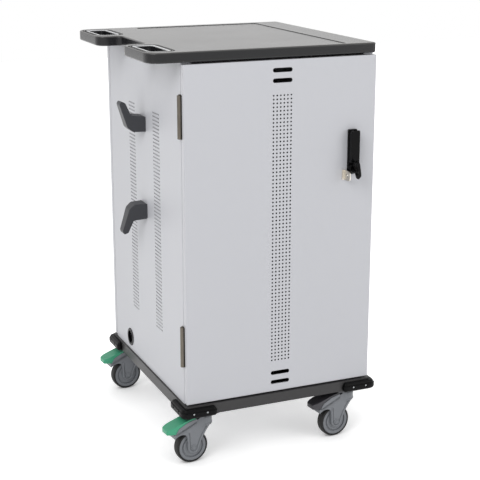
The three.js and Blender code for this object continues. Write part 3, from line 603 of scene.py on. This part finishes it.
def screw_head(radius):
    """Low round head with a hexagon socket, its foot at the origin and facing +Z."""
    ring = [(radius, 0.0), (radius, 0.35 * radius), (0.8 * radius, 0.55 * radius)]
    work = bmesh.new()
    loops = []
    for r, height in ring:
        loops.append([work.verts.new((r * math.cos(a), r * math.sin(a), height)) for a in clock(12)])
    for height in (0.55 * radius, 0.2 * radius):
        socket = []
        for index, angle in enumerate(clock(12)):
            r = 0.48 * radius * (1 if index % 2 == 0 else math.cos(math.pi / 6))
            socket.append(work.verts.new((r * math.cos(angle), r * math.sin(angle), height)))
        loops.append(socket)
    for lower, upper in zip(loops, loops[1:]):
        for index in range(12):
            after = (index + 1) % 12
            work.faces.new((lower[index], lower[after], upper[after], upper[index]))
    work.faces.new(list(reversed(loops[0])))
    work.faces.new(loops[-1])
    return from_work(work)


def clock(count):
    return [2 * math.pi * step / count for step in range(count)]


def screws(material, columns, rows, pitch, row_pitch, middle, turn, radius=SCREW_RADIUS):
    return from_tree(
        screw_head(radius),
        screw_heads,
        columns=columns,
        rows=rows,
        pitch=pitch,
        row_pitch=row_pitch,
        middle=middle,
        turn=turn,
        material=material,
    )


def fit(name, mesh, material, body, stands_for=()):
    """Adds a finished piece to a body, in place of the solids that it stands for."""
    piece = bpy.data.objects.new(name, mesh)
    bpy.context.scene.collection.objects.link(piece)
    mesh.name = name
    mesh.materials.clear()
    mesh.materials.append(material)
    for polygon in mesh.polygons:
        polygon.material_index = 0
    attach(piece, body)
    if stands_for:
        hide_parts(*stands_for)
    return piece


def dress(node, material, width, segments=2):
    """Rounds the edges of a solid's copy and shows that in its place."""
    mesh = shaded(rounded(merged(node), width, segments))
    return fit(node + "_skin", mesh, material, body_of[node], [node])


# Doors and side panels with their perforations

def shade_holes(piece, axis):
    """Gives the walls of the holes punched along an axis a dark coat: painted shade inside the holes."""
    piece.data.materials.append(painted_shade_hole_coat)
    for polygon in piece.data.polygons:
        across = abs(polygon.normal[axis]) < 0.5
        if across and HOLE_WALL_AREA[0] < polygon.area < HOLE_WALL_AREA[1]:
            polygon.material_index = 1


FRONT = (math.radians(90), 0, 0)
SIDE = (math.radians(90), 0, math.radians(90))
SHEET_EDGE = 0.0007

for node in ("front_door", "rear_door"):
    low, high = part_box(node)
    middle = Vector(((low.x + high.x) / 2, (low.y + high.y) / 2, low.z + DOOR_HOLES_MIDDLE))
    back = high.y if node == "front_door" else low.y
    gap = [rectangle(low.x - PAST, high.x + PAST, back - DOOR_GAP, back + DOOR_GAP, 0)]
    sheet = rounded(cut(merged(node), slab(gap, low.z - PAST, high.z + PAST)), SHEET_EDGE)
    sheet = punched(sheet, white_coat, *DOOR_HOLES, HOLE_PITCH, middle, FRONT, HOLE_RADIUS, 0.06)
    shade_holes(fit(node + "_sheet", shaded(sheet), white_coat, body_of[node], [node]), 1)

door_low, door_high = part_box("front_door")
for node in ("side_panel_left", "side_panel_right"):
    low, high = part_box(node)
    sheet = rounded(merged(node), SHEET_EDGE)
    edge = low.x if node.endswith("left") else high.x
    for distance in SIDE_STRIPS:
        middle = Vector((edge, door_low.y + distance, door_low.z + SIDE_HOLES_MIDDLE))
        sheet = punched(
            sheet,
            white_coat,
            *SIDE_HOLES,
            SIDE_HOLE_PITCH,
            middle,
            SIDE,
            HOLE_RADIUS,
            row_pitch=HOLE_PITCH,
        )
    shade_holes(fit(node + "_sheet", shaded(sheet), white_coat, "cabinet", [node]), 0)

for node in ("cabinet_floor", "cabinet_roof", "partition", "middle_shelf"):
    dress(node, white_coat, 0.0005)


# Worktop with its looped handles

HANDLE = 0.228
HANDLE_REACH = 0.076  # from the left edge of the solid to the notch between the handles
HANDLE_INSET = 0.003
GRIP_NEAR = 0.026  # from the left edge of the solid
GRIP_FAR = 0.078
GRIP_HALF = 0.072
GRIP_CORNER = 0.014
LIP_WIDTH = 0.0078  # of the pale lip around a grip, whose pale colour is a painted highlight on the rim
LIP_DEPTH = 0.0026
GROOVE_DEPTH = 0.0028
INSET_DEPTH = 0.0015
GRIP_GROOVES = ((LIP_WIDTH + 0.0002, 0.0042), (0.0145, 0.0045))  # margin around the hole, and width
ABOVE = 0.001  # how far a cutter stands above the worktop
BACK_CORNER = 0.012
OUTER_CORNER = 0.044
INNER_CORNER = 0.036
NOTCH_CORNER = 0.02
low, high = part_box("worktop")
left = low.x + HANDLE_INSET
notch = low.x + HANDLE_REACH
rim = outline(
    [
        (high.x, low.y, BACK_CORNER),
        (high.x, high.y, BACK_CORNER),
        (left, high.y, OUTER_CORNER),
        (left, high.y - HANDLE, INNER_CORNER),
        (notch, high.y - HANDLE, NOTCH_CORNER),
        (notch, low.y + HANDLE, NOTCH_CORNER),
        (left, low.y + HANDLE, INNER_CORNER),
        (left, low.y, OUTER_CORNER),
    ]
)


def grip(centre, margin):
    """Outline at a margin around the hole of a handle."""
    near = low.x + GRIP_NEAR - margin
    far = low.x + GRIP_FAR + margin
    half = GRIP_HALF + margin
    return rectangle(near, far, centre - half, centre + half, GRIP_CORNER + margin)


board = rounded(slab([rim], low.z, high.z), 0.0045, 4, 60)
lips = []
for y in (low.y + HANDLE / 2, high.y - HANDLE / 2):
    board = cut(board, slab([grip(y, 0)], low.z - ABOVE, high.z + ABOVE))
    board = cut(board, slab([grip(y, LIP_WIDTH + 0.0001)], high.z - LIP_DEPTH, high.z + ABOVE))
    # The lip's pale colour is a painted highlight on the rim of the grip
    ring = slab([grip(y, LIP_WIDTH), grip(y, 0.0008)], high.z - LIP_DEPTH, high.z - 0.0001)
    lips.append(rounded(ring, 0.0006))
    for margin, width in GRIP_GROOVES:
        groove = slab([grip(y, margin + width), grip(y, margin)], high.z - GROOVE_DEPTH, high.z + ABOVE)
        board = cut(board, groove)
inset = rectangle(door_low.x + 0.087, door_high.x - 0.09, door_low.y + 0.012, high.y - 0.027, 0.012)
board = cut(board, slab([inset], high.z - INSET_DEPTH, high.z + ABOVE))
fit("worktop_board", shaded(rounded(board, 0.0004)), worktop_skin, "cabinet", ["worktop"])
fit("worktop_grip_lips", shaded(joined(lips)), highlight_lip_skin, "cabinet")


# Base frame and bumpers

dress("base_frame", dark_coat, 0.0012)

BUMPER_REACH = 0.016
BUMPER_LEG = 0.094
BUMPER_FOOT = 0.006  # above the foot of its solid
BUMPER_SCREWS = 0.041  # from the corner of the base to the middle of a leg's two screws
BUMPER_SCREW_PITCH = 0.042
BUMPER_SCREW_RISE = 0.0142  # above the foot of a bumper
BUMPER_SINK_RADIUS = 0.0042
BUMPER_SINK = 0.003  # depth at which a screw head sits
BUMPER_CORNER = 0.024
BUMPER_END = 0.012
BUMPER_SEAT = -0.0003
# Height above the foot of a bumper, and how far its skin draws in there
BUMPER_SKIN = (
    (0.0, 0.007),
    (0.0012, 0.0042),
    (0.0034, 0.0016),
    (0.0062, 0.0003),
    (0.008, 0.0),
    (0.0182, 0.0),
    (0.0188, 0.0004),
    (0.0191, 0.0026),
    (0.0206, 0.003),
    (0.0238, 0.0038),
    (0.0262, 0.0056),
    (0.0274, 0.0078),
    (0.028, 0.0105),
)


def bumper_loop(inset):
    reach = BUMPER_REACH - inset
    leg = BUMPER_LEG - inset
    return outline(
        [
            (-reach, -reach, BUMPER_CORNER - inset),
            (leg, -reach, BUMPER_END - inset),
            (leg, BUMPER_SEAT, 0),
            (BUMPER_SEAT, BUMPER_SEAT, 0),
            (BUMPER_SEAT, leg, 0),
            (-reach, leg, BUMPER_END - inset),
        ]
    )


frame_low, frame_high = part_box("base_frame")
for quarter, corner in enumerate(corners):
    low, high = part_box("bumper_" + corner)
    foot = low.z + BUMPER_FOOT
    guard = lofted([bumper_loop(inset) for _, inset in BUMPER_SKIN], [foot + z for z, _ in BUMPER_SKIN])
    heads = []
    screw_z = foot + BUMPER_SCREW_RISE
    for x, y, way in ((BUMPER_SCREWS, -BUMPER_REACH, 0), (-BUMPER_REACH, BUMPER_SCREWS, -90)):
        turn = (math.radians(90), 0, math.radians(way))
        middle = Vector((x, y, screw_z))
        guard = punched(guard, black_skin, 2, 1, BUMPER_SCREW_PITCH, middle, turn, BUMPER_SINK_RADIUS, 0.007)
        middle += Vector((0, BUMPER_SINK, 0)) if way == 0 else Vector((BUMPER_SINK, 0, 0))
        heads.append(screws(zinc_plate, 2, 1, BUMPER_SCREW_PITCH, BUMPER_SCREW_PITCH, middle, turn))
    at = Vector((
        frame_low.x if corner.endswith("left") else frame_high.x,
        frame_low.y if corner.startswith("front") else frame_high.y,
        0,
    ))
    turn = Matrix.Translation(at) @ Matrix.Rotation(quarter * math.pi / 2, 4, "Z")
    node = "bumper_" + corner
    fit(node + "_guard", shaded(moved(guard, turn)), black_skin, "cabinet", [node])
    heads = shaded(moved(joined(heads), turn))
    fit(node + "_screws", heads, zinc_plate, "cabinet")


# Castors, made with the swivel axis on Z and the wheel trailing along +X

TRAIL = 0.04
WHEEL = 0.05
CHEEK = 0.021  # from the middle of the fork to the outside of a leg
LEG_END = 0.018  # radius of a leg around the axle
HEAD_TOP = 0.1417
HEAD_RADIUS = 0.027
PEDAL_ROOT = 0.032  # from the swivel axis to the root of a pedal
PEDAL_SHARE = 0.89  # of the length of its solid
BOLT_SPACING = (0.064, 0.046)
BOLT_SEAT = 0.005  # under the top of a castor plate
tyre_profile = [
    (0.0437, -0.014),
    (0.0456, -0.014),
    (0.0475, -0.0133),
    (0.049, -0.0112),
    (0.0497, -0.0082),
    (0.05, -0.0045),
    (0.05, 0.0045),
    (0.0497, 0.0082),
    (0.049, 0.0112),
    (0.0475, 0.0133),
    (0.0456, 0.014),
    (0.0437, 0.014),
]
half_hub = [
    (0.0053, 0.0117),
    (0.0085, 0.0127),
    (0.012, 0.013),
    (0.0285, 0.013),
    (0.0292, 0.0124),
    (0.0298, 0.0092),
    (0.0332, 0.0092),
    (0.0338, 0.0124),
    (0.0345, 0.013),
    (0.0424, 0.013),
    (0.0432, 0.0122),
]
hub_profile = half_hub + [(r, -h) for r, h in reversed(half_hub)]
cap_profile = [
    (0.0045, -0.001),
    (0.0088, -0.001),
    (0.0088, 0.0014),
    (0.008, 0.002),
    (0.0066, 0.002),
    (0.0058, 0.0012),
    (0.0045, 0.0012),
]
pedal_root = Matrix.Translation((PEDAL_ROOT, 0, 0))
pedal_length = pedal_root @ Matrix.Diagonal((PEDAL_SHARE, 1, 1, 1)) @ pedal_root.inverted()
wheel_place = Matrix.Translation((TRAIL, 0, WHEEL)) @ Matrix.Rotation(math.radians(90), 4, "X")


def leg_line(side, inset):
    """Line inside the edge of a fork leg: down one side, around the axle and up the other side."""
    y = side * (CHEEK - 0.0007)
    radius = LEG_END - inset
    points = [Vector((TRAIL + radius + 0.003, y, 0.098)), Vector((TRAIL + radius + 0.002, y, 0.086))]
    for step in range(17):
        angle = math.pi * step / 16
        points.append(Vector((TRAIL + radius * math.cos(angle), y, WHEEL - radius * math.sin(angle))))
    start, bend, end = points[-1], Vector((0.01 + inset, y, 0.086)), Vector((inset - 0.011, y, 0.112))
    for step in range(1, 13):
        t = step / 12
        points.append(start * (1 - t) ** 2 + bend * 2 * t * (1 - t) + end * t**2)
    return points


def head_line(height):
    """Line of a bead around the nose of a fork's head."""
    points = []
    for step in range(25):
        angle = math.radians(75 + 210 * step / 24)
        reach = HEAD_RADIUS - 0.0005
        points.append(Vector((reach * math.cos(angle), reach * math.sin(angle), height)))
    return points


def fork_trim():
    """Beads and axle caps of one fork."""
    trim = [bead(head_line(HEAD_TOP - drop), 0.0017, grey_skin) for drop in (0.0032, 0.0235)]
    for side in (-1, 1):
        trim.append(bead(leg_line(side, 0.0036), 0.0025, grey_skin))
        facing = Matrix.Rotation(math.radians(-90 * side), 4, "X")
        cap_place = Matrix.Translation((TRAIL, side * CHEEK, WHEEL)) @ facing
        trim.append(turned(cap_profile, 40, cap_place))
    return joined(trim + fork_flanks())


def fork_flanks():
    """Thin walls that rise from the fork on both sides of the pedal."""
    upper_edge = [(0.097, 0.106), (0.088, 0.1195), (0.06, 0.1335), (0.031, 0.1405)]
    lower_edge = [(0.031, 0.127), (0.06, 0.1145), (0.09, 0.1015), (0.097, 0.1015)]
    seam = [(0.097, 0.1045), (0.092, 0.1065), (0.06, 0.1203), (0.031, 0.1328)]
    walls = []
    for points, inside in ((lower_edge + upper_edge, 0.0233), (lower_edge + seam, 0.0202)):
        shape = [Vector(point) for point in points]
        wall = slab([shape], inside, CHEEK + 0.0036)
        walls.append(moved(wall, Matrix.Rotation(math.radians(90), 4, "X")))
    mirrored = joined(walls)
    mirrored.transform(Matrix.Diagonal((1, -1, 1, 1)))
    mirrored.flip_normals()
    return [*walls, mirrored]


def grooved_fork(node, place):
    """Copy of a fork's solid with a moulded groove inside the edge of each leg."""
    fork = rounded(merged(node), 0.0014, 3)
    for side in (-1, 1):
        fork = cut(fork, moved(bead(leg_line(side, 0.0079), 0.0013, grey_skin), place))
    return fork


for corner in corners:
    swivel = pivot["castor_swivel_" + corner].copy()
    trail = pivot["wheel_spin_" + corner] - swivel
    swivel.z = 0
    place = Matrix.Translation(swivel) @ Matrix.Rotation(math.atan2(trail.y, trail.x), 4, "Z")
    wheel = "wheel_" + corner
    node = "castor_tyre_" + corner
    fit(node + "_tread", shaded(turned(tyre_profile, 72, place @ wheel_place)), tread_rubber, wheel, [node])
    node = "castor_hub_" + corner
    fit(node + "_disc", shaded(turned(hub_profile, 72, place @ wheel_place)), grey_skin, wheel, [node])
    node = "castor_fork_" + corner
    fit(node + "_skin", shaded(grooved_fork(node, place)), grey_skin, body_of[node], [node])
    trim = shaded(moved(fork_trim(), place))
    fit(node + "_trim", trim, grey_skin, body_of[node])
    node = "castor_pedal_" + corner
    pedal = rounded(moved(merged(node), place @ pedal_length @ place.inverted()), 0.0016, 3)
    finish = green_skin if corner.endswith("left") else pedal_skin
    fit(node + "_skin", shaded(pedal), finish, body_of[node], [node])
    node = "castor_plate_" + corner
    dress(node, plate_steel_painted_shade, 0.0006)
    bolt_seat = Vector((swivel.x, swivel.y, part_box(node)[1].z - BOLT_SEAT))
    bolts = screws(zinc_plate, 2, 2, *BOLT_SPACING, bolt_seat, (math.pi, 0, 0), BOLT_RADIUS)
    fit(node + "_bolts", shaded(bolts), zinc_plate, "cabinet")


# Hinges, lock, hooks and cord inlet

for side in ("front", "rear"):
    for half in ("frame", "door"):
        for level in ("lower", "upper"):
            dress(side + "_hinge_" + half + "_leaf_" + level, hinge_steel, 0.0006)

dress("lock_base", black_skin, 0.0006)
dress("swing_handle", black_skin, 0.0016, 3)
dress("lock_cylinder", black_skin, 0.0008)
dress("latch_spindle", black_skin, 0.0004)
dress("latch_cam", zinc_plate, 0.0005)
dress("rear_cam_lock", zinc_plate, 0.0006)
dress("cord_grommet", black_skin, 0.0005)

# Collar around the key cylinder, on the front of the lock
key_axis = pivot["key_turn"]
collar_profile = [
    (0.0098, 0.0),
    (0.0135, 0.0),
    (0.0135, 0.006),
    (0.0122, 0.0085),
    (0.0108, 0.009),
    (0.0098, 0.0082),
]
collar_seat = Matrix.Translation((key_axis.x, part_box("lock_base")[0].y, key_axis.z))
collar = turned(collar_profile, 40, collar_seat @ Matrix.Rotation(math.radians(90), 4, "X"))
fit("lock_collar", shaded(collar), black_skin, body_of["lock_base"])

# Key with a thick bow, which hangs to one side
key_turn = Matrix.Translation(key_axis) @ Matrix.Rotation(math.radians(KEY_LEAN), 4, "Y")
bow = key_turn @ Matrix.Diagonal((1, 1, KEY_THICKENING, 1)) @ key_turn.inverted()
key = rounded(moved(merged("lock_key"), bow), 0.0014, 3)
fit("lock_key_skin", shaded(key), black_skin, body_of["lock_key"], ["lock_key"])

# Padlock staple, with a narrow foot
low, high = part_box("padlock_staple")
foot = [rectangle(low.x - PAST, high.x - STAPLE_FOOT, low.y - PAST, high.y + PAST, 0)]
staple = cut(merged("padlock_staple"), slab(foot, low.z - PAST, high.z + PAST))
fit("padlock_staple_plate", shaded(rounded(staple, 0.0005)), staple_steel, "front_door", ["padlock_staple"])

# Cord hooks, drawn in a little towards the panel that carries them
panel_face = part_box("side_panel_left")[0].x
to_face = Matrix.Translation((panel_face, 0, 0))
draw_in = to_face @ Matrix.Diagonal((HOOK_SHARE, 1, 1, 1)) @ to_face.inverted()
for node in ("cord_hook_upper", "cord_hook_lower"):
    hook = rounded(moved(merged(node), draw_in), 0.0022, 3)
    fit(node + "_skin", shaded(hook), hook_skin, "cabinet", [node])


# Inside

for level in ("lower", "upper"):
    dress("device_rack_" + level, hook_skin, 0.0007)
    dress("power_strip_" + level, black_skin, 0.0008)


# Floor, light and camera

def seen_rays(tree):
    """1 for rays that show the background: straight to the camera, mirrored or through glass."""
    path = new_node(tree, "ShaderNodeLightPath")
    direct = maths(tree, "MAXIMUM", path.outputs["Is Camera Ray"], path.outputs["Is Glossy Ray"])
    return maths(tree, "MAXIMUM", direct, path.outputs["Is Transmission Ray"])


def stage_floor():
    mesh = slab([rectangle(-9, 9, -9, 9, 0)], -0.01, 0.0)
    floor = bpy.data.objects.new("floor", mesh)
    bpy.context.scene.collection.objects.link(floor)
    material, tree, shader = new_material("pale_floor")
    shader.inputs["Base Color"].default_value = screen(240, 240, 240)
    shader.inputs["Roughness"].default_value = 0.9
    shader.inputs["Specular IOR Level"].default_value = 0.1
    shader.inputs["Emission Color"].default_value = (1, 1, 1, 1)
    # Glow seen by the camera is weaker near the cart and dimmed by ambient occlusion under and beside it: painted
    # shadow on the floor
    away = new_node(tree, "ShaderNodeVectorMath", operation="LENGTH")
    tree.links.new(new_node(tree, "ShaderNodeTexCoord").outputs["Object"], away.inputs[0])
    rise = new_node(tree, "ShaderNodeMapRange", interpolation_type="SMOOTHSTEP")
    for label, value in (("From Min", 0.3), ("From Max", 0.8), ("To Min", 0.58), ("To Max", 1.0)):
        rise.inputs[label].default_value = value
    tree.links.new(away.outputs["Value"], rise.inputs["Value"])
    painted_shadow_ao = new_node(tree, "ShaderNodeAmbientOcclusion", samples=8)
    painted_shadow_ao.inputs["Distance"].default_value = 0.2
    glow_with_painted_shadow = maths(tree, "MULTIPLY", rise.outputs["Result"], painted_shadow_ao.outputs["AO"])
    glow = maths(tree, "MULTIPLY", seen_rays(tree), glow_with_painted_shadow)
    tree.links.new(glow, shader.inputs["Emission Strength"])
    mesh.materials.append(material)


def stage_world():
    world = bpy.data.worlds.new("soft_white")
    world.use_nodes = True
    tree = world.node_tree
    tree.nodes.clear()
    glow = new_node(tree, "ShaderNodeBackground")
    glow.inputs["Color"].default_value = (1, 1, 1, 1)
    strength = maths(tree, "MULTIPLY", seen_rays(tree), 0.5)
    tree.links.new(maths(tree, "ADD", strength, 0.5), glow.inputs["Strength"])
    tree.links.new(glow.outputs[0], new_node(tree, "ShaderNodeOutputWorld").inputs["Surface"])
    bpy.context.scene.world = world


def stage_lamp(name, place, aim, size, power):
    lamp = bpy.data.lights.new(name, "AREA")
    lamp.shape = "DISK"
    lamp.size = size
    lamp.energy = power
    holder = bpy.data.objects.new(name, lamp)
    bpy.context.scene.collection.objects.link(holder)
    holder.location = place
    holder.rotation_mode = "QUATERNION"
    holder.rotation_quaternion = (Vector(aim) - Vector(place)).to_track_quat("-Z", "Y")


def stage_camera():
    camera = bpy.data.cameras.new("camera")
    camera.sensor_width = 36
    camera.lens = 90.99
    holder = bpy.data.objects.new("camera", camera)
    bpy.context.scene.collection.objects.link(holder)
    holder.location = (-1.39446, -3.36578, 1.59154)
    holder.rotation_mode = "QUATERNION"
    holder.rotation_quaternion = Vector((0.37971, 0.88517, -0.26887)).to_track_quat("-Z", "Y")
    bpy.context.scene.camera = holder


stage_floor()
stage_world()
stage_lamp("key_lamp", (-2.85, -2.4, 3.3), (0, 0, 0.65), 2.75, 83)
stage_lamp("fill_lamp", (2.65, -2.85, 2.0), (0, 0, 0.65), 2.75, 30)
stage_camera()
bpy.context.scene.view_settings.view_transform = "Standard"
